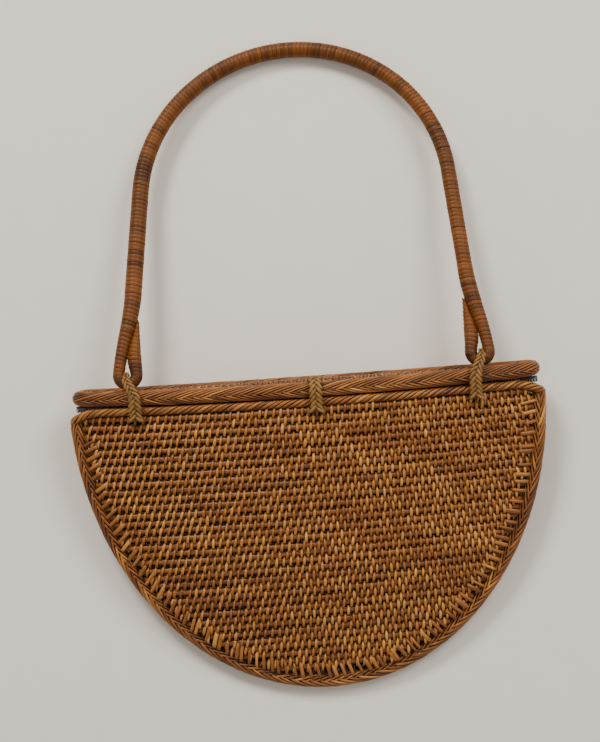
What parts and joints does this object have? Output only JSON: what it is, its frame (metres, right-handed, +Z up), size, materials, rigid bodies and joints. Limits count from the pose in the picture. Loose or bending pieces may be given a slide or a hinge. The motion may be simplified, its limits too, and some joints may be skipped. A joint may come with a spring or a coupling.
{
  "type": "woven half-moon handbag",
  "caption": "Half-moon handbag of woven cane with a braided edge, a hinged lens-shaped lid with a zip along its back, plaited straps and a tall bound arch handle that swings.",
  "frame": {"origin": "on the surface the bag lies on, below the middle of its bounding box", "axes": "+X to the wearer's right across the bag seen from the front, +Y from the rounded bottom towards the handle's arch, +Z up out of the front wall"},
  "size_m": [0.2568, 0.3566, 0.0471],
  "materials": {
    "cane_weave": "varnished split cane, honey brown with dark gaps",
    "cane_braid": "varnished split cane laid in a herringbone, darker between the strands",
    "cane_bound": "varnished reddish cane binding in fine turns",
    "plait": "plaited flat cane, olive tan",
    "zip": "grey woven tape with pale teeth"
  },
  "bodies": {
    "bag": {"front_panel": "cane_weave", "back_panel": "cane_weave", "edge_braid": "cane_braid", "edge_lashing": "cane_weave", "mouth_rim": "cane_braid", "body_zip": "zip", "strap_left": "plait", "strap_middle": "plait", "strap_right": "plait"},
    "lid": {"lid_panel": "cane_weave", "lid_rim": "cane_braid", "lid_zip": "zip"},
    "handle": {"handle": "cane_bound"}
  },
  "joints": [
    {"name": "lid_hinge", "type": "hinge", "parent": "bag", "child": "lid", "pos_m": [0, -0.01876, 0.04006], "axis": [1, 0, 0], "range_deg": [0, 100], "deforming": ["strap_left", "strap_middle", "strap_right"]},
    {"name": "handle_swing", "type": "hinge", "parent": "lid", "child": "handle", "pos_m": [0, -0.00875, 0.03367], "axis": [1, 0, 0], "range_deg": [-60, 90]}
  ]
}
